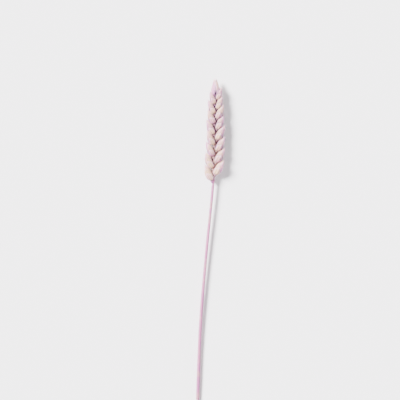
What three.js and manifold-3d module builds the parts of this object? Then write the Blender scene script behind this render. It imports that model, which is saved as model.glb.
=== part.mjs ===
// One ear of bread wheat on its straw, cut and laid down on a flat surface. Millimetres.
// +X runs from the straw's cut end to the tip of the ear, +Y is to the left of it and +Z is up.
// The origin is under the middle of the whole, on the surface that it lies on.
//
// The straw and the rachis, the zigzag stem inside the ear, grew as one piece. The rachis carries a
// spikelet at each joint, on its two flat sides by turns, and a last one across its end. A spikelet
// is a fan of florets between two stiff husks, the glumes.
import * as THREE from "three";
import { mergeVertices } from "three/addons/utils/BufferGeometryUtils.js";
import Module from "manifold-3d";

const wasm = await Module();
wasm.setup();

// ---- driving dimensions ----

const STRAW_LENGTH = 168; // from the cut end to the lowest spikelet
const STRAW_RADIUS_CUT = 1.35; // at the cut end
const STRAW_RADIUS_NECK = 1.05; // just under the ear
const STRAW_BORE_RADIUS = 0.75; // the straw is hollow; only the open end of the bore is made
const STRAW_BORE_DEPTH = 12;
const STRAW_STEP = 8; // between the rings that make the straw's bend
const NECK_LENGTH = 4; // over which the round straw flattens into the rachis
const LIE_DEG = 1.03; // the ear is thicker than the straw, so the whole lies nose up by this much

const SPIKELETS = 16; // along the two sides, without the one at the end
const FIRST_INTERNODE = 4.7; // rachis length between the two lowest spikelets
const LAST_INTERNODE = 3.6; // and between the two highest
const END_INTERNODE = 4.8; // from the highest of them to the spikelet across the end
const RACHIS_HALF_WIDTH = 0.95; // towards the viewer, at the lowest joint
const RACHIS_HALF_THICKNESS = 0.5;
const RACHIS_ZIGZAG = 0.35; // how far each joint steps away from its spikelet
const RACHIS_TAPER = 0.6; // the rachis at its end against its start
const RACHIS_END_GAP = 0.3; // from the rachis to the spikelet across its end
const JOINT_LENGTH = 1.6; // from a joint to the ring after it
const STALK_SIDES = 10;

const LEAN_DEG = 17; // a spikelet leans out from the rachis by this much
const SEAT = 1.3; // from the middle of the rachis to the middle of a spikelet's foot
const BOW = 1.1; // how far a spikelet curves out from its foot
const BOW_LENGTH = 2.6; // over about this much of its length
const FLORET_LENGTH = 10.2;
const FLORET_HALF_WIDTH = 1.55; // across the fan
const FLORET_HALF_DEPTH = 2.2; // from the rachis side to the outer side
const FAN_START = 0.8; // where the outer florets' feet are, along the spikelet
const FAN_FOOT = 0.7; // and how far from the middle of the fan
const FAN_DEG = 20.5; // how far the outer florets spread from the middle one
const MIDDLE_FLORET_START = 2.9;
const MIDDLE_FLORET_LENGTH = 8.8;
const GLUME_START = -0.4; // against the foot of the floret that it covers
const GLUME_LENGTH = 8.1;
const GLUME_THICKNESS = 0.4;
const GLUME_GAP = 0.42; // clear of the floret under it
const GLUME_WRAP_DEG = 62; // each side of its keel
const FOOT_SHRINK = 0.12; // the lowest spikelet is smaller than the full ones by this share
const FOOT_REACH = 0.18; // the part of the ear over which the spikelets grow to full size
const TIP_SHRINK = 0.22; // and the highest is smaller by this share
const TIP_REACH = 0.5; // the part of the ear over which they get smaller again
const END_SPIKELET_SCALE = new THREE.Vector3(0.95, 0.95, 0.72); // slim, between its neighbours

// The line of the whole stalk seen from above, from the cut end to the tip: x and y.
const LINE = [
  [-STRAW_LENGTH, 12],
  [-112, 9.9],
  [-54, 5.2],
  [0, 0],
  [42, -1.9],
  [84, -1.6],
];

const straw = new THREE.MeshStandardMaterial({ color: 0xdcc6cf, roughness: 0.6, metalness: 0 });
const glume = new THREE.MeshStandardMaterial({ color: 0xecdcdf, roughness: 0.65, metalness: 0 });
const floret = new THREE.MeshStandardMaterial({ color: 0xe6d8cf, roughness: 0.65, metalness: 0 });

// ---- places along the stalk ----

const CURVE_STEPS = 2000;
const UP = new THREE.Vector3(0, 0, 1);
const stalk = new THREE.CatmullRomCurve3(LINE.map(([x, y]) => new THREE.Vector3(x, y, 0)));
stalk.arcLengthDivisions = CURVE_STEPS;

// Arc length from the cut end to the lowest spikelet, which stands at x = 0.
const EAR_START = stalk.getLengths().find((length, i) => stalk.getPoint(i / CURVE_STEPS).x >= 0);

// The frame of the stalk at a length from its cut end: along it, to its left, and up.
function station(length) {
  const share = length / stalk.getLength();
  const along = stalk.getTangentAt(share);
  const left = new THREE.Vector3().crossVectors(UP, along).normalize();
  return { point: stalk.getPointAt(share), along, left };
}

// Where each spikelet is seated, as a length along the stalk. The joints get closer to the tip.
const seats = [EAR_START];
for (let i = 1; i < SPIKELETS; i++) {
  const share = (i - 1) / (SPIKELETS - 2);
  seats.push(seats[i - 1] + THREE.MathUtils.lerp(FIRST_INTERNODE, LAST_INTERNODE, share));
}
const END_SEAT = seats[SPIKELETS - 1] + END_INTERNODE;

// Spikelets stand on the left by turns with the right.
const sideOf = (i) => (i % 2 ? -1 : 1);

// A spikelet's size: smaller at the foot of the ear and over its upper half, full between.
function sizeOf(i) {
  const share = i / (SPIKELETS - 1);
  const foot = Math.max(0, 1 - share / FOOT_REACH);
  const tip = Math.max(0, 1 - (1 - share) / TIP_REACH);
  return 1 - FOOT_SHRINK * foot ** 1.5 - TIP_SHRINK * tip ** 1.5;
}

// ---- straw and rachis ----

// How far the rachis is to the left of the stalk's line: away from the spikelet at each joint.
function zigzag(length) {
  if (length <= seats[0]) return 0;
  const next = seats.findIndex((seat) => seat > length);
  if (next < 0) return 0;
  const share = (length - seats[next - 1]) / (seats[next] - seats[next - 1]);
  const from = next === 1 ? 0 : -sideOf(next - 1);
  return RACHIS_ZIGZAG * THREE.MathUtils.lerp(from, -sideOf(next), share);
}

// Half the stalk's width up and to the left, at a length from its cut end.
function stalkSection(length) {
  const round = THREE.MathUtils.lerp(STRAW_RADIUS_CUT, STRAW_RADIUS_NECK, length / EAR_START);
  const flat = THREE.MathUtils.smoothstep(length, EAR_START - NECK_LENGTH, EAR_START);
  const beyond = Math.max(0, length - EAR_START) / (END_SEAT - EAR_START);
  const taper = THREE.MathUtils.lerp(1, RACHIS_TAPER, beyond);
  return [
    THREE.MathUtils.lerp(round, RACHIS_HALF_WIDTH * taper, flat),
    THREE.MathUtils.lerp(round, RACHIS_HALF_THICKNESS * taper, flat),
  ];
}

// A lathe-turned rod with a bore in its cut end, bent along the stalk's line.
function stalkGeometry() {
  const neck = EAR_START - NECK_LENGTH;
  const rings = [];
  for (let length = STRAW_STEP; length < neck; length += STRAW_STEP) rings.push(length);
  rings.push(neck, EAR_START - NECK_LENGTH / 2);
  seats.forEach((seat) => rings.push(seat, seat + JOINT_LENGTH));
  const bore = STRAW_BORE_RADIUS / STRAW_RADIUS_CUT;
  const profile = [
    [0, STRAW_BORE_DEPTH],
    [bore, STRAW_BORE_DEPTH],
    [bore, 0],
    [1, 0],
    ...rings.map((length) => [1, length]),
    [1, END_SEAT - 2 * RACHIS_END_GAP],
    [0, END_SEAT - RACHIS_END_GAP],
  ].map(([radius, length]) => new THREE.Vector2(radius, length));
  const geometry = new THREE.LatheGeometry(profile, STALK_SIDES);
  const position = geometry.getAttribute("position");
  for (let i = 0; i < position.count; i++) {
    const length = position.getY(i);
    const { point, left } = station(length);
    const [halfUp, halfLeft] = stalkSection(length);
    point.addScaledVector(left, position.getX(i) * halfLeft + zigzag(length));
    point.addScaledVector(UP, -position.getZ(i) * halfUp);
    position.setXYZ(i, point.x, point.y, point.z);
  }
  return geometry;
}

// ---- spikelets, modelled with +X towards the tip, +Y outwards and +Z across the fan ----

// How full a floret is from its foot at 0 to its point at 1, 1 at its widest.
function fullness(share) {
  const foot = 0.5;
  const point = 1.1;
  const widest = foot / (foot + point);
  const shape = (u) => u ** foot * (1 - u) ** point;
  return share <= 0 || share >= 1 ? 0 : shape(share) / shape(widest);
}

// Sends each point of a ball, as its share of the way to the tip and its place around the long
// axis, to where place puts it: [x, y, z].
function shapeBall(around, along, place) {
  const geometry = new THREE.SphereGeometry(1, around, along);
  const position = geometry.getAttribute("position");
  for (let i = 0; i < position.count; i++) {
    const across = position.getX(i);
    const share = (1 + position.getY(i)) / 2;
    const outward = position.getZ(i);
    const ring = Math.hypot(across, outward) || 1;
    position.setXYZ(i, ...place(share, outward / ring, across / ring, Math.min(ring, 1)));
  }
  return geometry;
}

// How far a spikelet has curved out from its straight axis, at a distance from its foot.
const bow = (x) => BOW * (1 - Math.exp(-Math.max(0, x) / BOW_LENGTH));

// A closed floret that starts at a distance from the spikelet's foot: a plump drop, point first.
function dropGeometry(start, length) {
  return shapeBall(8, 7, (share, outward, across) => {
    const x = start + share * length;
    const full = fullness(share);
    return [x, bow(x) + outward * FLORET_HALF_DEPTH * full, across * FLORET_HALF_WIDTH * full];
  });
}

// A glume: a curved husk that follows the floret under it, with a short point.
function glumeGeometry() {
  const wrap = THREE.MathUtils.degToRad(GLUME_WRAP_DEG);
  return shapeBall(10, 7, (share, chord, skin, ring) => {
    const x = GLUME_START + share * GLUME_LENGTH;
    const full = fullness(x / FLORET_LENGTH);
    const clear = GLUME_GAP + GLUME_THICKNESS * (0.5 + 0.5 * skin * ring);
    const outline = Math.sqrt(Math.sin(Math.PI * share ** 0.8));
    const angle = chord * wrap * (share > 0 && share < 1 ? outline : 0);
    return [
      x,
      bow(x) + (FLORET_HALF_DEPTH * full + clear) * Math.sin(angle),
      (FLORET_HALF_WIDTH * full + clear) * Math.cos(angle),
    ];
  });
}

// Leans an outer piece of the fan to its place on the +Z side.
function toFanSide(geometry) {
  geometry.rotateY(-THREE.MathUtils.degToRad(FAN_DEG));
  geometry.translate(FAN_START, 0, FAN_FOOT);
  return geometry;
}

function toSolid(geometry) {
  const bare = geometry.clone();
  bare.deleteAttribute("normal");
  bare.deleteAttribute("uv");
  const merged = mergeVertices(bare, 1e-4);
  const mesh = new wasm.Mesh({
    numProp: 3,
    vertProperties: new Float32Array(merged.getAttribute("position").array),
    triVerts: new Uint32Array(merged.index.array),
  });
  return new wasm.Manifold(mesh);
}

function fromSolid(solid) {
  const mesh = solid.getMesh();
  const geometry = new THREE.BufferGeometry();
  geometry.setAttribute("position", new THREE.BufferAttribute(mesh.vertProperties, mesh.numProp));
  geometry.setIndex(new THREE.BufferAttribute(mesh.triVerts, 1));
  geometry.computeVertexNormals();
  return geometry;
}

// Two outer florets and the middle one, grown together at their feet.
function floretsGeometry() {
  const upper = toSolid(toFanSide(dropGeometry(0, FLORET_LENGTH)));
  const middle = toSolid(dropGeometry(MIDDLE_FLORET_START, MIDDLE_FLORET_LENGTH));
  return fromSolid(upper.add(upper.mirror([0, 0, 1])).add(middle));
}

const glumeShape = toSolid(toFanSide(glumeGeometry()));
const shapes = {
  florets: floretsGeometry(),
  glumes: [fromSolid(glumeShape), fromSolid(glumeShape.mirror([0, 0, 1]))],
};

// One spikelet with its pieces named after it. The fan's +Z side is up when side is 1.
function spikelet(name, side) {
  const group = new THREE.Group();
  const add = (piece, geometry, material) => {
    const mesh = new THREE.Mesh(geometry, material);
    mesh.name = `${name}_${piece}`;
    group.add(mesh);
  };
  const [upper, lower] = side > 0 ? shapes.glumes : shapes.glumes.toReversed();
  add("florets", shapes.florets, floret);
  add("glume_upper", upper, glume);
  add("glume_lower", lower, glume);
  return group;
}

// ---- the whole ear ----

const twoDigits = (n) => String(n).padStart(2, "0");

function sideSpikelet(i) {
  const side = sideOf(i);
  const size = sizeOf(i);
  const { point, along, left } = station(seats[i]);
  const lean = THREE.MathUtils.degToRad(LEAN_DEG) * side;
  const group = spikelet(`spikelet_${twoDigits(i + 1)}`, side);
  const tipward = along.clone().applyAxisAngle(UP, lean);
  const outward = left.clone().multiplyScalar(side).applyAxisAngle(UP, lean);
  const across = new THREE.Vector3().crossVectors(tipward, outward);
  group.quaternion.setFromRotationMatrix(new THREE.Matrix4().makeBasis(tipward, outward, across));
  group.position.copy(point).addScaledVector(left, side * SEAT * size);
  group.scale.setScalar(size);
  return group;
}

// The spikelet across the end faces down, so it starts above the stalk's line and bows onto it.
function endSpikelet() {
  const { point, along, left } = station(END_SEAT);
  const group = spikelet("spikelet_end", 1);
  group.quaternion.setFromRotationMatrix(new THREE.Matrix4().makeBasis(along, UP.clone().negate(), left));
  group.position.copy(point).addScaledVector(UP, BOW * END_SPIKELET_SCALE.y);
  group.scale.copy(END_SPIKELET_SCALE);
  return group;
}

const stalkMesh = new THREE.Mesh(stalkGeometry(), straw);
stalkMesh.name = "straw_and_rachis";

const lying = new THREE.Group();
lying.add(stalkMesh, endSpikelet());
for (let i = 0; i < SPIKELETS; i++) lying.add(sideSpikelet(i));
lying.rotation.y = -THREE.MathUtils.degToRad(LIE_DEG);

const wheatEar = new THREE.Group();
wheatEar.add(lying);
wheatEar.updateMatrixWorld(true);
const bounds = new THREE.Box3().setFromObject(lying, true);
const middle = bounds.getCenter(new THREE.Vector3());
lying.position.sub(new THREE.Vector3(middle.x, middle.y, bounds.min.z));

export default wheatEar;
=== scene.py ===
"""One dried ear of beardless wheat on its straw, lying on a pale surface, built around its CAD frame.

X runs from the straw's cut end to the tip of the ear and Z is up from the surface. Everything is in metres.
"""

import math
import random

import bpy
import numpy as np
from mathutils import Matrix, Vector


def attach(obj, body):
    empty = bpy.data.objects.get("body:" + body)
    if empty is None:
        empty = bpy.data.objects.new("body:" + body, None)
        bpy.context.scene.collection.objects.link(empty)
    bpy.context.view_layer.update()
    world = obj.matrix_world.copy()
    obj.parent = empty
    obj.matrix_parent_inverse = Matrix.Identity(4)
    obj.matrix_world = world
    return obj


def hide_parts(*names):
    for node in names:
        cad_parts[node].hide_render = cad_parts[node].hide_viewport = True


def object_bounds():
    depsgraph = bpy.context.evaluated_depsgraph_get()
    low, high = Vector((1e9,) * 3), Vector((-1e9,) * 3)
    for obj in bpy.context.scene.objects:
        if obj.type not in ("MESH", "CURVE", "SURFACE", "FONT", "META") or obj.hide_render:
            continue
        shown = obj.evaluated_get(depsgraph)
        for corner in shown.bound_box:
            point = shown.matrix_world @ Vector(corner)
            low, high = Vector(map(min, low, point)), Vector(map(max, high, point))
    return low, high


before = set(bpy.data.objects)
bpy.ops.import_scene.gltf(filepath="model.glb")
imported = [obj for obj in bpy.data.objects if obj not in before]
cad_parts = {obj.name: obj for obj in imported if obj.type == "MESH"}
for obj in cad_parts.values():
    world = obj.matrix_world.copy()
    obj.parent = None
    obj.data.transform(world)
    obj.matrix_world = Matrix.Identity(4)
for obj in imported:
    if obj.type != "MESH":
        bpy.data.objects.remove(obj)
CAD_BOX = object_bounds()

bl_info = {
    "name": "Wheat Ear",
    "version": (1, 0, 0),
    "blender": (4, 5, 0),
    "location": "3D View > Sidebar > Wheat",
    "description": "Builds a dried wheat ear, husk by husk, around its CAD frame",
    "category": "Add Mesh",
}

MM = 0.001
UP = Vector((0, 0, 1))
BODY = "root"
STALK = "straw_and_rachis"

BOW = 0.85 * MM  # a spikelet curves out by this much from its florets' feet
BOW_LENGTH = 2.6 * MM  # over about this much of its length
SPIKELET_LENGTH = 11 * MM  # of a full-grown spikelet, from its florets' feet to its highest tip
PRESS = 0.3 * MM  # husks nearer than this to the surface are pressed up by it

UNEVEN_LEAN = math.radians(2)  # no two spikelets stand quite alike: they lean by up to this much
UNEVEN_TWIST = math.radians(7)  # and are twisted by up to this much
GATHER = math.radians(7)  # the highest ones close up around the end by this much

FOOT_SPIKELETS = 4  # this many of the lowest spikelets are larger, to meet the next ones
FOOT_FILL = 0.16  # the lowest by this share, and the others by less and less

END_FAN = 0.26  # how far the spikelet across the end spreads, against the others
END_GLUME_FAN = 1.8 * END_FAN
END_SLIM = 0.82  # its size from above to below, against its CAD nodes'
END_STRETCH = 1.14  # and its length
END_SINK = 2.0 * MM  # it sits this much further down between its neighbours

RACHIS_SHADE = 0.6  # how much painted shade the upper rachis gets, deep between the husks
CUSHION_SHADE = 0.78  # how open to the light the swellings under the spikelets are

UNEVEN_SEED = 31
STRAW_SEED = 77
GLUME_SEED = 1000
FLORET_SEED = 5000


# ---- what the frame says ----


def node_points(name):
    """A CAD node's different vertices, as rows of x, y and z."""
    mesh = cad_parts[name].data
    points = np.empty(3 * len(mesh.vertices))
    mesh.vertices.foreach_get("co", points)
    return np.unique(points.reshape(-1, 3).round(8), axis=0)


def middle_of(points):
    """The middle of the points' box."""
    return (points.min(axis=0) + points.max(axis=0)) / 2


def bow(along):
    """How far a full-grown spikelet has curved out from its straight axis."""
    return BOW * (1 - np.exp(-np.maximum(along, 0) / BOW_LENGTH))


class Line:
    """The stalk from its cut end to its tip: a smooth line through the middles of the CAD stalk's rings."""

    RING_GAP = 0.25 * MM  # points further apart than this along X are on different rings
    BORE_SHARE = 0.8  # a ring thinner than this share of the one before it is inside the bore

    def __init__(self, points):
        points = points[np.argsort(points[:, 0])]
        breaks = np.flatnonzero(np.diff(points[:, 0]) > self.RING_GAP) + 1
        self.middles, self.halves = [], []
        for ring in np.split(points, breaks):
            half = (ring.max(axis=0) - ring.min(axis=0))[1:] / 2
            if self.halves and half[1] < self.BORE_SHARE * self.halves[-1][1]:
                continue
            self.middles.append(middle_of(ring))
            self.halves.append(half)
        self.middles = np.array(self.middles)
        self.halves = np.array(self.halves)
        steps = np.linalg.norm(np.diff(self.middles, axis=0), axis=1)
        self.lengths = np.concatenate([[0], np.cumsum(steps)])
        self.length = self.lengths[-1]

    def at(self, length):
        """The point of the line at a length from the cut end."""
        i = int(np.clip(np.searchsorted(self.lengths, length) - 1, 0, len(self.lengths) - 2))
        span = self.lengths[i + 1] - self.lengths[i]
        u = (length - self.lengths[i]) / span
        before, after = max(i - 1, 0), min(i + 2, len(self.lengths) - 1)
        start, end = self.middles[i], self.middles[i + 1]
        leave = (end - self.middles[before]) / (self.lengths[i + 1] - self.lengths[before]) * span
        arrive = (self.middles[after] - start) / (self.lengths[after] - self.lengths[i]) * span
        return Vector(
            (2 * u**3 - 3 * u**2 + 1) * start
            + (u**3 - 2 * u**2 + u) * leave
            + (3 * u**2 - 2 * u**3) * end
            + (u**3 - u**2) * arrive
        )

    def half_sizes(self, length):
        """Half the stalk's size to its left and up, at a length from the cut end."""
        return [float(np.interp(length, self.lengths, self.halves[:, axis])) for axis in (0, 1)]

    def length_at(self, x):
        """The length from the cut end where the line passes x."""
        return float(np.interp(x, self.middles[:, 0], self.lengths))


class Seat:
    """Where one spikelet stands: its foot, its directions and its size against a full-grown one.

    The directions are along it to its tip, outward from the rachis, and across from the lower glume to
    the upper one.
    """

    def __init__(self, name):
        self.name = name
        florets = node_points(f"{name}_florets")
        upper = node_points(f"{name}_glume_upper").mean(axis=0)
        lower = node_points(f"{name}_glume_lower").mean(axis=0)
        middle = florets.mean(axis=0)
        axis = np.linalg.svd(florets - middle, full_matrices=False)[2][0]
        order = np.argsort((florets - middle) @ axis * np.sign(axis[0]))
        self.foot = Vector(florets[order[:2]].mean(axis=0))
        chord = Vector(florets[order[-1]]) - self.foot
        across = Vector(upper - lower)
        across = (across - chord * across.dot(chord) / chord.length_squared).normalized()
        outward = across.cross(chord).normalized()
        # UP decides for the spikelet across the end, which is on the line
        away = Vector(middle) - LINE.at(LINE.length_at(middle[0])) + UP * MM
        if outward.dot(away) < 0:
            outward.negate()
        bowed = BOW / SPIKELET_LENGTH
        tipward = (chord.normalized() - outward * bowed).normalized()
        outward = (outward + tipward * bowed).normalized()
        self.directions = (tipward, outward, across)
        reach = [(florets - middle) @ np.array(direction) for direction in self.directions]
        self.sizes = [float(r.max() - r.min()) for r in reach]
        self.scale = Vector((1, 1, 1))
        self.share = 0.0  # from 0 at the lowest spikelet to 1 at the highest

    def place(self, points):
        """Points given along, outward and across from a full-grown spikelet's foot, to where they are."""
        basis = np.array(self.directions) * np.array(self.scale)[:, None]
        curved = points + np.outer(bow(points[:, 0]), (0, 1, 0))
        placed = curved @ basis + np.array(self.foot)
        height = placed[:, 2]
        placed[:, 2] = (height + np.hypot(height, PRESS)) / 2
        return placed

    def turn(self, lean, twist):
        """Leans the spikelet towards the rachis, then twists it round its own length."""
        tipward, outward, across = self.directions
        cos, sin = math.cos(lean), math.sin(lean)
        tipward, outward = tipward * cos - outward * sin, outward * cos + tipward * sin
        cos, sin = math.cos(twist), math.sin(twist)
        self.directions = (tipward, outward * cos + across * sin, across * cos - outward * sin)

    @property
    def across_end(self):
        """True for the spikelet across the end."""
        return self.share == 1

    @property
    def mirrored(self):
        """True where the directions turn the other way round from X, Y and Z."""
        tipward, outward, across = self.directions
        return tipward.cross(outward).dot(across) < 0


def read_seats():
    """The spikelets' seats, from the lowest to the one across the end."""
    names = [name[: -len("_florets")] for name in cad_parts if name.endswith("_florets")]
    seats = sorted((Seat(name) for name in names), key=lambda seat: seat.foot.x)
    full = [max(seat.sizes[axis] for seat in seats) for axis in range(3)]
    first, last = seats[0].foot.x, seats[-1].foot.x
    rng = random.Random(UNEVEN_SEED)
    for seat in seats:
        seat.scale = Vector(size / most for size, most in zip(seat.sizes, full))
        seat.share = (seat.foot.x - first) / (last - first)
    for seat in seats[:-1]:
        lean = GATHER * max(0, 2 * seat.share - 1) + UNEVEN_LEAN * rng.uniform(-1, 1)
        seat.turn(lean, UNEVEN_TWIST * rng.uniform(-1, 1))
    for number, seat in enumerate(seats[:FOOT_SPIKELETS]):
        seat.scale *= 1 + FOOT_FILL * (1 - number / FOOT_SPIKELETS)
    end = seats[-1]
    end.scale.x *= END_STRETCH
    end.scale.y *= END_SLIM
    end.foot -= end.directions[0] * END_SINK
    return seats


LINE = Line(node_points(STALK))
SEATS = read_seats()


# ---- sizes and colours that a user may change ----


def srgb(red, green, blue):
    """A colour given as three numbers from 0 to 255, as the linear colour that a shader takes."""
    parts = [part / 255 for part in (red, green, blue)]
    return tuple(p / 12.92 if p <= 0.04045 else ((p + 0.055) / 1.055) ** 2.4 for p in parts)


def length_setting(name, description, millimetres):
    return bpy.props.FloatProperty(
        name=name, description=description, default=millimetres * MM, unit="LENGTH", precision=5
    )


def angle_setting(name, description, degrees):
    return bpy.props.FloatProperty(
        name=name, description=description, default=math.radians(degrees), subtype="ANGLE"
    )


def number_setting(name, description, value):
    return bpy.props.FloatProperty(name=name, description=description, default=value)


def count_setting(name, description, value):
    return bpy.props.IntProperty(name=name, description=description, default=value, min=1)


def colour_setting(name, description, colour):
    return bpy.props.FloatVectorProperty(
        name=name, description=description, default=srgb(*colour), subtype="COLOR", min=0, max=1
    )


class StrawSettings(bpy.types.PropertyGroup):
    sides: count_setting("Sides", "Faces around the straw", 60)
    step: length_setting("Step", "Distance between the straw's rings", 1.5)
    ear_step: length_setting("Rachis step", "Distance between the rachis's rings", 0.25)
    ridges: count_setting("Ridges", "Fine ribs around the straw", 22)
    ridge_height: length_setting("Ridge height", "How far a rib stands out", 0.022)
    bore_depth: length_setting("Bore depth", "How far the open end of the straw is hollow", 12)
    wall: length_setting("Wall", "Thickness of the straw's wall at the cut end", 0.45)
    internode_waist: number_setting("Waist", "Width of a rachis joint's foot against its top", 0.8)
    breadth: number_setting("Breadth", "The rachis's width from side to side against its core's", 2.35)
    cushion: length_setting("Cushion", "Half the width of the swelling that a spikelet stands on", 1.6)
    collar: length_setting("Collar", "How far the rim under each spikelet stands out", 0.16)


class GlumeSettings(bpy.types.PropertyGroup):
    start: length_setting("Start", "From the spikelet's foot to the glume's", -1.3)
    length: length_setting("Length", "From the foot to the tip of the beak", 8.2)
    half_width: length_setting("Half width", "Across the husk, beyond the lemma under it", 2.75)
    half_depth: length_setting("Half depth", "From the floret's middle to the keel", 1.95)
    wrap: angle_setting("Wrap", "How far each side goes round from the keel", 74)
    keel_height: length_setting("Keel height", "How sharply the keel stands out", 0.42)
    vein_height: length_setting("Vein height", "How far a vein stands out", 0.075)
    thickness: length_setting("Thickness", "At the middle of the husk", 0.2)


class FloretSettings(bpy.types.PropertyGroup):
    length: length_setting("Length", "The lowest florets' length without awn", 11.2)
    half_width: length_setting("Half width", "Of the lowest florets, seen on their back", 2.75)
    half_depth: length_setting("Half depth", "Of the lowest florets, from the side", 1.6)
    wrap: angle_setting("Wrap", "How far each side of the lemma goes round", 104)
    vein_height: length_setting("Vein height", "How far a vein stands out", 0.06)
    thickness: length_setting("Thickness", "At the middle of the lemma", 0.16)
    fan: angle_setting("Fan", "How far the lowest florets spread from the middle", 20.5)
    tuck: length_setting("Tuck", "How far the lowest floret is tucked in to the rachis", 0.3)
    flare: length_setting("Flare", "How far a floret's tip turns out, away from the rachis", 1.25)
    foot: length_setting("Foot", "From the middle of the fan to the lowest florets' feet", 0.7)
    awn: length_setting("Awn tip", "Length of the short awn tips at the foot of the ear", 0.8)
    awn_growth: length_setting("Awn growth", "How much longer they are at the tip of the ear", 0.9)


class FinishSettings(bpy.types.PropertyGroup):
    cream: colour_setting("Cream", "Dry husk that took little dye", (216, 174, 138))
    lilac: colour_setting("Lilac", "Dyed husk", (190, 110, 166))
    # Pale is the thin margins' and the straw's fibres' own colour, and also a painted highlight on the
    # husks' tips and margins
    pale: colour_setting("Pale", "Tips and thin margins", (244, 196, 222))
    # Mauve is the dye in veins, streaks and specks, and also the painted shade deep between the husks and
    # on the rachis
    mauve: colour_setting("Mauve", "Where the dye gathered, deep between the husks", (72, 26, 82))
    straw: colour_setting("Straw", "The straw's dyed skin", (122, 48, 122))
    straw_cream: colour_setting("Straw streaks", "Streaks that took little dye", (190, 108, 144))


class StageSettings(bpy.types.PropertyGroup):
    view_width: length_setting("View width", "Width of the camera's view at the surface", 308)
    lens: number_setting("Lens", "Focal length in millimetres", 200)
    tip_drop: number_setting("Tip drop", "From the top of the view to the ear's tip, as a share of it", 0.2)
    foot_right: number_setting("Foot right", "From the middle to the ear's foot, as a share", 0.033)
    floor: colour_setting("Floor", "The surface under the ear", (238, 236, 238))
    floor_radius: length_setting("Floor radius", "How far the floor is flat", 8000)
    floor_rise: length_setting("Floor rise", "Radius of the curve beyond it", 6000)


# ---- shader maths ----


class Wire:
    """An output of a node. Arithmetic on it adds Math nodes to its tree."""

    def __init__(self, paint, socket):
        self.paint = paint
        self.socket = socket

    def maths(self, operation, *values):
        return self.paint.node("ShaderNodeMath", {"operation": operation}, dict(enumerate(values)))

    def __add__(self, other):
        return self.maths("ADD", self, other)

    def __sub__(self, other):
        return self.maths("SUBTRACT", self, other)

    def __rsub__(self, other):
        return self.maths("SUBTRACT", other, self)

    def __mul__(self, other):
        return self.maths("MULTIPLY", self, other)

    def __pow__(self, power):
        return self.maths("POWER", self, power)

    def __abs__(self):
        return self.maths("ABSOLUTE", self)

    __radd__ = __add__
    __rmul__ = __mul__

    def cosine(self):
        return self.maths("COSINE", self)

    def clamped(self):
        settings = {"operation": "ADD", "use_clamp": True}
        return self.paint.node("ShaderNodeMath", settings, {0: self, 1: 0})

    def between(self, low, high):
        """0 where this is low or less, 1 where it is high or more, and smooth between."""
        settings = {"interpolation_type": "SMOOTHSTEP"}
        sockets = {"Value": self, "From Min": low, "From Max": high}
        return self.paint.node("ShaderNodeMapRange", settings, sockets)


class Paint:
    """A material's node tree around one Principled shader."""

    def __init__(self, name):
        self.material = bpy.data.materials.new(name)
        self.material.use_nodes = True
        self.tree = self.material.node_tree
        self.tree.nodes.clear()
        self.shader = self.tree.nodes.new("ShaderNodeBsdfPrincipled")
        output = self.tree.nodes.new("ShaderNodeOutputMaterial")
        self.tree.links.new(self.shader.outputs[0], output.inputs["Surface"])

    def fill(self, node, sockets):
        """Gives a node's inputs their values or links."""
        for key, value in sockets.items():
            if isinstance(value, Wire):
                self.tree.links.new(value.socket, node.inputs[key])
            else:
                node.inputs[key].default_value = value

    def node(self, kind, settings=None, sockets=None, output=0):
        """Adds a node, makes its settings, then fills its inputs, and gives one of its outputs."""
        node = self.tree.nodes.new(kind)
        for key, value in (settings or {}).items():
            setattr(node, key, value)
        self.fill(node, sockets or {})
        return Wire(self, node.outputs[output])

    def grain(self):
        """The three numbers of the piece's own grain attribute."""
        vector = self.node("ShaderNodeAttribute", {"attribute_name": "grain"}, output="Vector")
        return [
            self.node("ShaderNodeSeparateXYZ", None, {0: vector}, output=axis) for axis in "XYZ"
        ]

    def stretched(self, x, y, z, stretch):
        """A place for a noise, each of its numbers made larger by its own share of stretch."""
        parts = [part * times for part, times in zip((x, y, z), stretch)]
        return self.node("ShaderNodeCombineXYZ", None, dict(zip("XYZ", parts)))

    def noise(self, vector, scale, detail, roughness):
        sockets = {"Vector": vector, "Scale": scale, "Detail": detail, "Roughness": roughness}
        return self.node("ShaderNodeTexNoise", None, sockets)

    def place(self):
        """The point of the piece in the row's frame."""
        return self.node("ShaderNodeTexCoord", output="Object")

    def mix(self, share, start, end):
        """A colour between start and end."""
        settings = {"data_type": "RGBA", "clamp_factor": True}
        colours = [c if isinstance(c, Wire) else (*c, 1) for c in (start, end)]
        sockets = {"Factor": share, 6: colours[0], 7: colours[1]}
        return self.node("ShaderNodeMix", settings, sockets, output=2)

    def bump(self, height, distance, strength):
        sockets = {"Height": height, "Distance": distance, "Strength": strength}
        return self.node("ShaderNodeBump", None, sockets)


HUSK_VEINS = 9
HUSK_FIBRES = (2.2, 17, 31)  # how fine they are along a husk, across it, and from husk to husk
STRAW_STREAKS = (0.02, 3.2, 3.2)  # along the straw and round it
STRAW_FIBRES = (0.03, 17, 17)
CREAMY_AFTER = 9  # millimetres above the ear's foot


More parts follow.
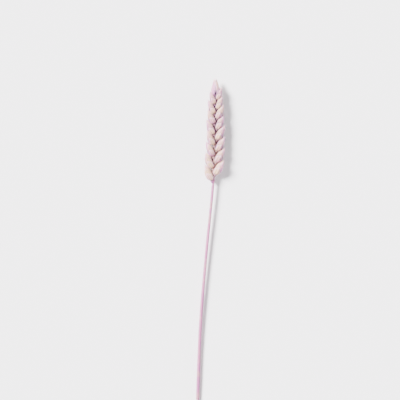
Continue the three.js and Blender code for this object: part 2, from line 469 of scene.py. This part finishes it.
def husk_material(name, finish, lilac_share, dye_and_shade_reach):
    """Dry papery husk, mauve at its foot and less and less between two shares of its length: some gathered
    dye, and painted shade where the foot lies deep between the husks.

    Its grain is the share of its length, the share of its width, and its own tone.
    """
    paint = Paint(name)
    along, across, tone = paint.grain()
    fibre_place = paint.stretched(along, across, tone, HUSK_FIBRES)
    fibres = paint.noise(fibre_place, 1.6, 4.0, 0.62)
    blotches = paint.noise(paint.place(), 260, 3.0, 0.6)
    specks = paint.noise(paint.place(), 2600, 2.0, 0.5)
    veins = (0.5 + 0.5 * (across * (math.pi * HUSK_VEINS / 2)).cosine()) ** 5
    edge = abs(across) ** 2.6

    dyed = blotches * 1.5 + edge * 0.35 + across * 0.45 + tone * 0.3 + fibres * 0.5
    dyed = (dyed + (lilac_share - 1.3)).clamped()
    colour = paint.mix(dyed, finish.cream, finish.lilac)
    # pale for the thin margins' own colour, and a painted highlight on the tips and margins
    thin = ((edge - 0.3).clamped() * 1.3 + along.between(0.66, 0.98) * 0.9).clamped()
    colour = paint.mix(thin * 0.85, colour, finish.pale)
    # painted shade with some gathered dye: mauve at the husk's foot, where it lies deep between the husks
    deep = (1 - along.between(*dye_and_shade_reach)) * (0.7 + blotches * 0.5)
    lines = veins * (0.1 + fibres * 0.75) * (1 - along.between(0.75, 0.98))
    streaks = fibres.between(0.5, 0.72) * 0.42
    # mauve for real veins, fibre streaks and specks, and for the painted shade at the foot
    stain_and_shade = (deep * 0.95 + lines * 0.72 + streaks + specks.between(0.6, 0.75) * 0.2).clamped()
    colour = paint.mix(stain_and_shade, colour, finish.mauve)

    paint.fill(
        paint.shader,
        {
            "Base Color": colour,
            "Roughness": (0.46 + fibres * 0.22).clamped(),
            "Normal": paint.bump(fibres + specks * 0.2 + veins * 0.35, 0.15 * MM, 1.0),
            "Subsurface Weight": 0.12,
            "Subsurface Radius": (1.0, 0.65, 0.75),
            "Subsurface Scale": 0.6 * MM,
            "Sheen Weight": 0.15,
            "Specular IOR Level": 0.42,
        },
    )
    return paint.material


def straw_material(name, finish, ear_foot):
    """Waxy dyed straw that turns creamier from the ear's foot on, given in millimetres.

    Its grain is the length from the cut end in millimetres, and the place round it. That place is nearer
    to 0 where the skin is deep between the husks, and there the material paints shade in mauve.
    """
    paint = Paint(name)
    length, round_x, round_y = paint.grain()
    streak_place = paint.stretched(length, round_x, round_y, STRAW_STREAKS)
    fibre_place = paint.stretched(length, round_x, round_y, STRAW_FIBRES)
    streaks = paint.noise(streak_place, 1.7, 3.0, 0.6)
    fibres = paint.noise(fibre_place, 1.5, 3.0, 0.6)
    blotches = paint.noise(paint.place(), 120, 4.0, 0.62)
    specks = paint.noise(paint.place(), 1900, 2.0, 0.5)

    colour = paint.mix(streaks.between(0.42, 0.58), finish.straw, finish.straw_cream)
    colour = paint.mix(blotches.between(0.5, 0.62) * 0.3, colour, finish.cream)
    colour = paint.mix(fibres.between(0.5, 0.75) * 0.14, colour, finish.pale)
    creamy = length.between(ear_foot, ear_foot + CREAMY_AFTER) * 0.72
    colour = paint.mix(creamy, colour, finish.cream)
    # painted shade: mauve where the rachis and its cushions lie deep between the husks
    depth = 1 - (round_x * round_x + round_y * round_y)
    stain_and_shade = blotches.between(0.5, 0.78) * 0.35 + fibres.between(0.5, 0.28) * 0.25
    stain_and_shade = (stain_and_shade + specks.between(0.62, 0.8) * 0.25 + depth * 0.85).clamped()
    colour = paint.mix(stain_and_shade, colour, finish.mauve)
    paint.fill(
        paint.shader,
        {
            "Base Color": colour,
            "Roughness": (0.34 + fibres * 0.18 + blotches * 0.1).clamped(),
            "Normal": paint.bump(fibres + specks * 0.15, 0.05 * MM, 0.7),
            "Subsurface Weight": 0.08,
            "Subsurface Radius": (1.0, 0.65, 0.75),
            "Subsurface Scale": 0.5 * MM,
            "Specular IOR Level": 0.5,
        },
    )
    return paint.material


# ---- mesh work ----


CRUMPLE_WAVES = 5
VEIN_WIDTH = 0.07  # against half the width of the husk


class Sheets:
    """Closed skins gathered into one mesh, each with its grain numbers."""

    def __init__(self):
        self.points, self.grain, self.faces = [], [], []

    def add(self, points, grain, faces):
        start = sum(len(p) for p in self.points)
        self.points.append(np.asarray(points, float))
        self.grain.append(np.asarray(grain, float))
        self.faces += [tuple(start + corner for corner in face) for face in faces]

    def make(self, name, material, mirrored=False):
        """The piece as an object, with smooth faces that point out."""
        points = np.concatenate(self.points)
        faces = [face[::-1] for face in self.faces] if mirrored else self.faces
        mesh = bpy.data.meshes.new(name)
        mesh.from_pydata([tuple(p) for p in points], [], faces)
        mesh.shade_smooth()
        grain = mesh.attributes.new("grain", "FLOAT_VECTOR", "POINT")
        grain.data.foreach_set("vector", np.concatenate(self.grain).astype(np.float32).ravel())
        mesh.materials.append(material)
        if mesh.validate():
            raise RuntimeError(f"{name} has faces that don't hold together")
        piece = bpy.data.objects.new(name, mesh)
        bpy.context.scene.collection.objects.link(piece)
        return piece


def declare(piece, node):
    """Attaches the piece to the body that it moves with, and hides the CAD node that it stands for."""
    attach(piece, BODY)
    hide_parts(node)


def fullness(share, foot=0.42, point=1.08):
    """How full a floret is from its foot at 0 to its point at 1: 1 where it is widest."""
    widest = foot / (foot + point)
    share = np.clip(share, 0, 1)
    return (share**foot * (1 - share) ** point) / (widest**foot * (1 - widest) ** point)


def smooth(value, low, high):
    """0 at low, 1 at high, and smooth between."""
    share = np.clip((value - low) / (high - low), 0, 1)
    return share * share * (3 - 2 * share)


def crumple(along, across, rng):
    """A gentle unevenness from -1 to 1 over a husk, different for each draw."""
    total = 0
    for _ in range(CRUMPLE_WAVES):
        turn = rng.uniform(0, math.tau)
        total = total + np.sin(rng.uniform(2, 7) * along + rng.uniform(1, 5) * across + turn)
    return total / CRUMPLE_WAVES


def grid_faces(rows, columns):
    """The faces of a closed sheet: an outer grid, an inner one after it, and the rim that joins them."""
    inner = rows * columns
    faces = []
    for row in range(rows - 1):
        for column in range(columns - 1):
            a = row * columns + column
            b = a + columns
            faces.append((a, b, b + 1, a + 1))
            faces.append((inner + a, inner + a + 1, inner + b + 1, inner + b))
    rim = list(range(columns))
    rim += [row * columns + columns - 1 for row in range(1, rows)]
    rim += [(rows - 1) * columns + column for column in range(columns - 2, -1, -1)]
    rim += [row * columns for row in range(rows - 2, 0, -1)]
    for here, there in zip(rim, rim[1:] + rim[:1]):
        faces.append((here, there, inner + there, inner + here))
    return faces


def band_faces(rings, sides):
    """The faces between rings of points, each with as many sides."""
    faces = []
    for ring in range(rings - 1):
        for side in range(sides):
            a = ring * sides + side
            b = ring * sides + (side + 1) % sides
            faces.append((a, b, b + sides, a + sides))
    return faces


def closed_faces(rings, sides):
    """The same, with a face over the first ring and one over the last."""
    first = tuple(reversed(range(sides)))
    last = tuple(range((rings - 1) * sides, rings * sides))
    return band_faces(rings, sides) + [first, last]


class Husk:
    """A thin boat-shaped husk, modelled with X along it, Y across it and Z out of its back."""

    ROWS, COLUMNS = 30, 25
    UNEVEN = 0.06 * MM  # how far its faces are from even
    LEAST = 0.02 * MM  # its section never gets smaller than this

    def __init__(self, rng, half_width, half_depth, thickness):
        self.rng = rng
        self.half_width = half_width
        self.half_depth = half_depth
        self.thickness = thickness
        rows = (1 - np.cos(np.linspace(0, math.pi, self.ROWS))) / 2
        self.along = (0.35 * rows + 0.65 * np.linspace(0, 1, self.ROWS))[:, None]
        self.across = np.linspace(-1, 1, self.COLUMNS)[None, :]

    def skin(self, x, full, angle, raised, bend, sway):
        """Both faces of the husk from its section: how full it is, the angle round it and what stands out.

        Its tip is bent out of its back and swayed to its side.
        """
        uneven = self.UNEVEN * crumple(self.along * 3, self.across * 2, self.rng)
        thin = self.thickness * (1 - 0.6 * self.across**2)
        reach = (x - x.min()) / (x.max() - x.min())
        faces = []
        for raise_by in (raised, -thin):
            out = uneven * np.minimum(full * 3, 1) + raise_by
            width = np.maximum(self.half_width * full + out, self.LEAST)
            depth = np.maximum(self.half_depth * full + out, self.LEAST)
            y = width * np.sin(angle) + sway * reach**2
            z = depth * np.cos(angle) + bend * reach**2.5
            faces.append(np.stack(np.broadcast_arrays(x, y, z), axis=-1).reshape(-1, 3))
        return np.concatenate(faces)

    def grain(self, tone):
        """The grain numbers of both faces."""
        one = np.stack(np.broadcast_arrays(self.along, self.across, tone), axis=-1).reshape(-1, 3)
        return np.concatenate([one, one])

    @classmethod
    def faces(cls):
        return grid_faces(cls.ROWS, cls.COLUMNS)


def stand_in_fan(points, start, foot, fan, side, roll):
    """Stands a husk in its spikelet's fan, with its back turned to one side of the fan."""
    cos_roll, sin_roll = math.cos(roll), math.sin(roll)
    y, z = points[:, 1], points[:, 2]
    y, z = y * cos_roll + z * sin_roll, z * cos_roll - y * sin_roll
    x = points[:, 0]
    along = x * math.cos(fan) - z * math.sin(fan)
    across = x * math.sin(fan) + z * math.cos(fan)
    return np.stack([start + along, y, side * (foot + across)], axis=-1)


def rib(across, place, width):
    """A rounded rib at a place across a husk, 1 at its top."""
    return np.exp(-(((across - place) / width) ** 2))


def veins_over(across, count):
    """Ribs at even places across a husk."""
    return sum(rib(across, place, VEIN_WIDTH) for place in np.linspace(-0.82, 0.82, count))


# ---- the pieces ----


SMALL_SPIKELET = 0.86  # a spikelet shorter than this share of a full-grown one has one floret less
GLUME_START = 0.1 * MM  # a glume is this much further up than the florets' feet
GLUME_KEEL_TURN = 0.2  # how far round from the middle of its back a glume's keel is, in radians
GLUME_VEINS = 8
LEMMA_VEINS = 7
LEMMA_KEEL = 0.09 * MM  # how far a lemma's middle vein stands out
PALEA_KEEL = 0.1 * MM  # and each of a palea's two keels
AWN_HALF_THICKNESS = 0.075 * MM
FAN_UNEVEN = 1.5  # degrees by which a husk may be off its place in the fan


def plumpness(seat):
    """How much plumper the husks are across the fan than the seat's own size makes them.

    Only the spikelet across the end is narrower across its fan than it is long.
    """
    return max(1.0, 0.95 * seat.scale.x / seat.scale.z) ** 1.4


def glume_skin(seat, side, glume, florets, rng):
    """One glume over the fan's outer floret on that side.

    It is keeled off its middle, and ends in a beak with a shoulder beside it.
    """
    husk = Husk(rng, glume.half_width, glume.half_depth * plumpness(seat), glume.thickness)
    along, across = husk.along, husk.across
    length = glume.length * rng.uniform(0.95, 1.05)
    x = glume.start + along * length
    over_floret = np.clip(x / florets.length, 0.012, 1)
    full = fullness(over_floret) * smooth(along, -0.02, 0.1) ** 0.6
    foot = 0.62 + 0.38 * smooth(along, 0.0, 0.25)
    shoulder = (1 - smooth(along, 0.74, 0.97)) ** 0.8
    slope = (1 - along**2.2) ** 0.9
    beak = 0.05 * (1 - along)
    outline = np.where(across < 0, np.maximum(shoulder, beak), np.maximum(slope, beak)) * foot
    wrap = glume.wrap * np.where(across < 0, 0.95, 1.0)
    angle = GLUME_KEEL_TURN + across * wrap * outline
    ridge = rib(across, 0, 0.075) * (0.35 + 0.65 * smooth(along, 0.1, 0.7))
    raised = glume.keel_height * ridge * np.minimum(1, (1.02 - along) * 6)
    raised = raised + glume.vein_height * veins_over(across, GLUME_VEINS) * (1 - smooth(along, 0.6, 0.95))
    raised = raised + rng.uniform(0.1, 0.3) * MM * smooth(along, 0.7, 1.0)  # clear of the lemma
    bend = rng.uniform(-0.1, 0.35) * MM
    sway = rng.uniform(-0.25, 0.25) * MM
    points = husk.skin(x, full, angle, raised, bend, sway)
    points[:, 1] -= 0 if seat.across_end else florets.tuck
    roll = math.radians(8 + rng.uniform(-5, 5))
    fan = florets.fan * (END_GLUME_FAN if seat.across_end else 1)
    fan += math.radians(rng.uniform(-FAN_UNEVEN, FAN_UNEVEN))
    return husk, stand_in_fan(points, GLUME_START, florets.foot, fan, side, roll)


def lemma_skin(floret, florets, rng, awn):
    """A floret's outer husk: plump, veined, and drawn out into a short awn tip."""
    husk = Husk(rng, floret["half_width"], floret["half_depth"], florets.thickness)
    along, across = husk.along, husk.across
    total = floret["length"] + awn
    x = along * total
    body = x / floret["length"]
    full = fullness(np.clip(body, 0.004, 1), 0.44, 0.9)
    thread = AWN_HALF_THICKNESS * (1 - 0.75 * smooth(x, floret["length"], total))
    least = thread / floret["half_depth"]
    full = np.sqrt(full**2 + least**2)
    open_out = (0.55 + 0.45 * smooth(body, 0, 0.2)) * (1 - 0.45 * smooth(body, 0.72, 0.98))
    wrap = florets.wrap * open_out
    rolled = smooth(body, 0.95, 1.02)
    angle = across * (wrap * (1 - rolled) + math.radians(160) * rolled)
    fade = 1 - smooth(body, 0.75, 0.97)
    raised = florets.vein_height * veins_over(across, LEMMA_VEINS) * fade
    raised = raised + LEMMA_KEEL * rib(across, 0, 0.06) * smooth(body, 0.3, 0.8) * fade
    bend = rng.uniform(-0.5, 0.25) * MM
    sway = florets.flare * rng.uniform(0.5, 1.3)
    points = husk.skin(x, full, angle, raised, bend, sway)
    points[:, 1] -= floret["tuck"]
    return husk, points


def palea_skin(floret, florets, rng):
    """A floret's inner husk: a flatter sheet with two keels, tucked inside the lemma's margins."""
    husk = Husk(rng, floret["half_width"] * 0.86, floret["half_depth"] * 0.66, florets.thickness * 0.7)
    along, across = husk.along, husk.across
    length = floret["length"] * 0.93
    x = along * length + 0.02 * floret["length"]
    full = fullness(np.clip(along, 0.006, 0.996))
    angle = math.pi + across * math.radians(82) * (1 - 0.3 * smooth(along, 0.75, 1))
    raised = PALEA_KEEL * rib(abs(across), 0.55, 0.08) * (1 - smooth(along, 0.8, 1))
    points = husk.skin(x, full, angle, raised, 0, 0.6 * florets.flare)
    points[:, 1] -= floret["tuck"]
    return husk, points


def floret_plan(seat, florets):
    """The spikelet's florets from the lowest: on which side, where they start and how big they are.

    Foot, fan, length and tuck are first given as shares of the settings.
    """
    deep = florets.half_depth * plumpness(seat)
    low = {"half_width": florets.half_width, "half_depth": deep}
    high = {"half_width": florets.half_width * 0.9, "half_depth": deep * 0.8}
    plan = [
        {"side": 1, "start": 0.0, "foot": 1.0, "fan": 1.0, "length": 1.0, "tuck": 1.0, **low},
        {"side": -1, "start": 0.4 * MM, "foot": 1.0, "fan": 1.0, "length": 0.98, "tuck": 2.6, **low},
        {"side": 1, "start": 2.3 * MM, "foot": 0.45, "fan": 0.42, "length": 0.92, "tuck": 1.2, **high},
        {"side": -1, "start": 3.3 * MM, "foot": 0.45, "fan": 0.36, "length": 0.8, "tuck": 2.0, **high},
    ]
    small = seat.scale.x < SMALL_SPIKELET and not seat.across_end
    for floret in plan:
        floret["length"] *= florets.length
        floret["foot"] *= florets.foot
        floret["fan"] *= florets.fan * (END_FAN if seat.across_end else 1)
        floret["tuck"] *= 0 if seat.across_end else florets.tuck
    return plan[:3] if small else plan


def add_skin(sheets, seat, husk, points, rng):
    """Adds a husk where its spikelet stands, with a tone of its own."""
    tone = rng.uniform(-1, 1)
    sheets.add(seat.place(points), husk.grain(tone), husk.faces())


class WHEAT_OT_glumes(bpy.types.Operator):
    """Make the two stiff husks at the foot of every spikelet"""

    bl_idname = "wheat.glumes"
    bl_label = "Glumes"

    def execute(self, context):
        glume = context.scene.wheat_glume
        florets = context.scene.wheat_floret
        material = husk_material("glume_husk", context.scene.wheat_finish, 0.56, (0.02, 0.34))
        for index, seat in enumerate(SEATS):
            for place, side in (("upper", 1), ("lower", -1)):
                rng = random.Random(GLUME_SEED + 2 * index + (side > 0))
                husk, points = glume_skin(seat, side, glume, florets, rng)
                sheets = Sheets()
                add_skin(sheets, seat, husk, points, rng)
                piece = sheets.make(
                    f"{seat.name}_glume_{place}_husk", material, seat.mirrored != (side < 0)
                )
                declare(piece, f"{seat.name}_glume_{place}")
        return {"FINISHED"}


class WHEAT_OT_florets(bpy.types.Operator):
    """Make every spikelet's florets, each a lemma with an awn tip and a palea"""

    bl_idname = "wheat.florets"
    bl_label = "Florets"

    def execute(self, context):
        florets = context.scene.wheat_floret
        finish = context.scene.wheat_finish
        # lit and shaded copies of one husk: covered florets get more painted shade at the foot than the
        # open ones at the ear's foot and end
        shaded_copy = husk_material("floret_husk", finish, 0.6, (0.2, 0.66))
        lit_copy = husk_material("open_husk", finish, 0.5, (0.0, 0.42))
        for index, seat in enumerate(SEATS):
            material = lit_copy if index < 2 or seat.across_end else shaded_copy
            for number, floret in enumerate(floret_plan(seat, florets)):
                side = floret["side"]
                rng = random.Random(FLORET_SEED + 10 * index + number)
                awn = florets.awn + florets.awn_growth * seat.share**2 * rng.uniform(0.7, 1.2)
                roll = math.radians(6 + rng.uniform(-6, 6))
                fan = floret["fan"] + math.radians(rng.uniform(-FAN_UNEVEN, FAN_UNEVEN))
                sheets = Sheets()
                for husk, points in (
                    lemma_skin(floret, florets, rng, awn),
                    palea_skin(floret, florets, rng),
                ):
                    points = stand_in_fan(points, floret["start"], floret["foot"], fan, side, roll)
                    add_skin(sheets, seat, husk, points, rng)
                piece = sheets.make(
                    f"{seat.name}_floret_{number + 1}", material, seat.mirrored != (side < 0)
                )
                declare(piece, f"{seat.name}_florets")
        return {"FINISHED"}


class WHEAT_OT_stalk(bpy.types.Operator):
    """Make the straw with its hollow cut end, and the zigzag rachis that the spikelets stand on"""

    bl_idname = "wheat.stalk"
    bl_label = "Straw and rachis"

    def execute(self, context):
        straw = context.scene.wheat_straw
        sheets = Sheets()
        joints = [LINE.length_at(seat.foot.x) for seat in SEATS]
        material = straw_material("dyed_straw", context.scene.wheat_finish, joints[0] / MM)
        add_tube(sheets, straw, joints)
        for seat, joint in zip(SEATS, joints):
            add_cushion(sheets, seat, joint, straw.cushion, CUSHION_SHADE * shade_at(joint, joints))
        piece = sheets.make("straw_with_rachis", material)
        declare(piece, STALK)
        return {"FINISHED"}


SHADE_BETWEEN = (4, 12)  # the rachis's painted shade gets deeper from this spikelet to that
NECK = 3 * MM  # the straw turns into the rachis over this length under the lowest spikelet
JOINT_TOP = 1.12  # the width of a rachis joint's top against the CAD stalk's
COLLAR_WIDTH = 0.45 * MM
CUT_ROUND = 0.05 * MM  # how far the rim of the cut end is rounded off
RING_LOOK = 0.4 * MM  # a ring faces the way the line goes over this length to each side
LEAST_RADIUS = 0.01 * MM


def shade_at(length, joints):
    """1 where the stalk is open to the light, and less the deeper it is between the husks."""
    first, last = (joints[number] for number in SHADE_BETWEEN)
    return 1 - RACHIS_SHADE * float(smooth(length, first, last))


def stalk_lengths(straw, joints):
    """Where the stalk's rings are, as lengths from the cut end: closer together in the ear."""
    ear = joints[0] - 5 * MM
    cut = [0, CUT_ROUND, 0.2 * MM, 0.6 * MM]
    plain = np.arange(straw.step, ear, straw.step)
    fine = np.arange(ear, LINE.length, straw.ear_step)
    return np.concatenate([cut, plain, fine])


def joint_swell(length, straw, joints):
    """How wide the stalk is against its plain width, and how far a joint's rim stands out there."""
    if length < joints[0] - NECK:
        return 1.0, 0.0
    after = int(np.searchsorted(joints, length))
    top = joints[min(after, len(joints) - 1)]
    foot = joints[after - 1] if after else joints[0] - NECK
    share = min(max((length - foot) / max(top - foot, MM), 0), 1)
    waist = 1.0 if after == 0 else straw.internode_waist
    width = waist + (JOINT_TOP - waist) * share**0.7
    rim = max(float(rib(length, joint, COLLAR_WIDTH)) for joint in joints)
    return width, straw.collar * rim


def add_tube(sheets, straw, joints):
    """The straw's skin from the end of its bore, out over the cut rim and along to the rachis's end."""
    rng = random.Random(STRAW_SEED)
    turns = np.arange(straw.sides) / straw.sides * math.tau
    ridge_turn = [rng.uniform(0, math.tau) for _ in range(3)]
    ridges = np.sin(straw.ridges * turns + ridge_turn[0]) + 0.6 * np.sin(
        (straw.ridges // 2 + 2) * turns + ridge_turn[1]
    )
    oval = 0.018 * np.sin(2 * turns + ridge_turn[2])
    points, grains = [], []

    def ring(length, scale, inset, ridge_share):
        here = LINE.at(length)
        after, before = min(length + RING_LOOK, LINE.length), max(length - RING_LOOK, 0)
        ahead = (LINE.at(after) - LINE.at(before)).normalized()
        left = UP.cross(ahead).normalized()
        up = ahead.cross(left)
        half_left, half_up = LINE.half_sizes(length)
        width, rim = joint_swell(length, straw, joints)
        eared = float(smooth(length, joints[0] - NECK, joints[0]))
        broad = 1 + (straw.breadth - 1) * eared
        shade = shade_at(length, joints)
        wander = 0.02 * MM * math.sin(length / (9 * MM)) * ridge_share
        for turn, ridge, out in zip(turns, ridges, oval):
            grow = rim + ridge * straw.ridge_height * ridge_share + out * half_up - inset + wander
            side = max(half_left * broad * width * scale + grow, LEAST_RADIUS) * math.cos(turn)
            rise = max(half_up * width * scale + grow, LEAST_RADIUS) * math.sin(turn)
            points.append(here + left * side + up * rise)
            # the place round it shrinks with the shade, which the material paints in mauve
            grains.append((length / MM, shade * math.cos(turn), shade * math.sin(turn)))

    for depth in (1.0, 0.5, 0.12, 0.03):
        ring(straw.bore_depth * depth, 1, straw.wall * (0.9 + 0.2 * depth), 0.4)
    ring(0, 1, straw.wall * 0.8, 0.3)
    ring(0, 1, straw.wall * 0.35, 0.6)
    for length in stalk_lengths(straw, joints):
        ring(float(length), 1, CUT_ROUND if length < 2 * CUT_ROUND else 0, 1)
    ring(LINE.length, 0.55, 0, 0)

    sheets.add(points, grains, closed_faces(len(points) // straw.sides, straw.sides))


CUSHION_BELOW = 2.2 * MM  # a cushion starts this far under the spikelet's joint
CUSHION_ABOVE = 1.2 * MM  # and ends this far above its foot


def add_cushion(sheets, seat, joint, half_width, shade):
    """The swelling of the rachis that a spikelet stands on, from under its foot up into its husks."""
    sides, rings = 20, 9
    tipward, _, across = seat.directions
    start = LINE.at(max(joint - CUSHION_BELOW, 0))
    end = seat.foot + tipward * (CUSHION_ABOVE * seat.scale.x)
    ahead = (end - start).normalized()
    flat = across.cross(ahead).normalized()
    points, grains = [], []
    for ring in range(rings):
        share = ring / (rings - 1)
        middle = start.lerp(end, share)
        width = half_width * seat.scale.x * (0.25 + 0.75 * math.sin(math.pi * (0.15 + 0.7 * share)))
        for side in range(sides):
            turn = side / sides * math.tau
            reach = width * (1 + 0.05 * math.sin(5 * turn + 3 * share))
            place = flat * (0.75 * reach * math.cos(turn)) + across * (reach * math.sin(turn))
            points.append(middle + place)
            # the place round it shrinks with the shade, which the material paints in mauve
            grains.append((joint / MM, shade * math.cos(turn), shade * math.sin(turn)))
    sheets.add(points, grains, closed_faces(rings, sides))


class WHEAT_OT_stage(bpy.types.Operator):
    """Make the pale floor, the soft light and the camera above the ear"""

    bl_idname = "wheat.stage"
    bl_label = "Stage"

    ROOM_COLOUR = (0.95, 0.95, 1.0, 1)
    ROOM_STRENGTH = 0.4

    def execute(self, context):
        stage = context.scene.wheat_stage
        scene = context.scene
        floor_paint = Paint("pale_floor")
        floor_paint.fill(floor_paint.shader, {"Base Color": (*stage.floor, 1), "Roughness": 0.75})
        mesh = bpy.data.meshes.new("floor")
        mesh.from_pydata(*self.bowl(stage))
        mesh.shade_smooth()
        mesh.materials.append(floor_paint.material)
        floor = bpy.data.objects.new("floor", mesh)
        scene.collection.objects.link(floor)

        world = bpy.data.worlds.new("soft_room")
        world.use_nodes = True
        room = world.node_tree.nodes["Background"].inputs
        room["Color"].default_value = self.ROOM_COLOUR
        room["Strength"].default_value = self.ROOM_STRENGTH
        scene.world = world
        self.lamp("key", towards=(0.42, 0.66, 0.66), spread=math.radians(22), strength=22)
        self.lamp("fill", towards=(-0.5, -0.6, 0.9), spread=math.radians(80), strength=1.6)
        self.camera(scene, stage)
        return {"FINISHED"}

    @staticmethod
    def bowl(stage):
        """A flat round floor that curves up far away, so that no edge of it is seen from low down."""
        sides, curve_rings, curve = 96, 12, math.radians(72)
        points = []
        for ring in range(curve_rings + 1):
            turn = ring / curve_rings * curve
            radius = stage.floor_radius + stage.floor_rise * math.sin(turn)
            height = stage.floor_rise * (1 - math.cos(turn))
            for side in range(sides):
                round_turn = side / sides * math.tau
                points.append((radius * math.cos(round_turn), radius * math.sin(round_turn), height))
        curved = [face[::-1] for face in band_faces(curve_rings + 1, sides)]
        return points, [], [tuple(range(sides)), *curved]

    @staticmethod
    def lamp(name, towards, spread, strength):
        """A far, broad lamp in a direction from the ear. The wider its spread, the softer its shadow."""
        light = bpy.data.lights.new(name, "SUN")
        light.angle = spread
        light.energy = strength
        lamp = bpy.data.objects.new(name, light)
        lamp.location = towards
        lamp.rotation_euler = (-Vector(towards)).to_track_quat("-Z", "Y").to_euler()
        bpy.context.scene.collection.objects.link(lamp)

    @staticmethod
    def camera(scene, stage):
        """A long lens straight above, with the tip of the ear to the top of its view."""
        data = bpy.data.cameras.new("camera")
        data.lens = stage.lens
        camera = bpy.data.objects.new("camera", data)
        tip = CAD_BOX[1].x
        foot = SEATS[0].foot
        half_angle = math.atan(data.sensor_width / 2 / data.lens)
        camera.location = (
            tip - (0.5 - stage.tip_drop) * stage.view_width,
            LINE.at(LINE.length_at(foot.x)).y + stage.foot_right * stage.view_width,
            stage.view_width / 2 / math.tan(half_angle),
        )
        camera.rotation_euler = Matrix(((0, 1, 0), (-1, 0, 0), (0, 0, 1))).to_euler()
        scene.collection.objects.link(camera)
        scene.camera = camera


class WHEAT_PT_panel(bpy.types.Panel):
    """Lists the steps that build the wheat ear"""

    bl_label = "Wheat Ear"
    bl_space_type = "VIEW_3D"
    bl_region_type = "UI"
    bl_category = "Wheat"

    def draw(self, context):
        for step in STEPS:
            self.layout.operator(step.bl_idname)


STEPS = (WHEAT_OT_stage, WHEAT_OT_stalk, WHEAT_OT_glumes, WHEAT_OT_florets)
SETTINGS = {
    "wheat_straw": StrawSettings,
    "wheat_glume": GlumeSettings,
    "wheat_floret": FloretSettings,
    "wheat_finish": FinishSettings,
    "wheat_stage": StageSettings,
}


def register():
    for kind in (*SETTINGS.values(), *STEPS, WHEAT_PT_panel):
        bpy.utils.register_class(kind)
    for name, kind in SETTINGS.items():
        setattr(bpy.types.Scene, name, bpy.props.PointerProperty(type=kind))


def unregister():
    for name in SETTINGS:
        delattr(bpy.types.Scene, name)
    for kind in (WHEAT_PT_panel, *reversed(STEPS), *SETTINGS.values()):
        bpy.utils.unregister_class(kind)


def main():
    register()
    bpy.ops.wheat.stage()
    bpy.ops.wheat.stalk()
    bpy.ops.wheat.glumes()
    bpy.ops.wheat.florets()


if __name__ == "__main__":
    main()
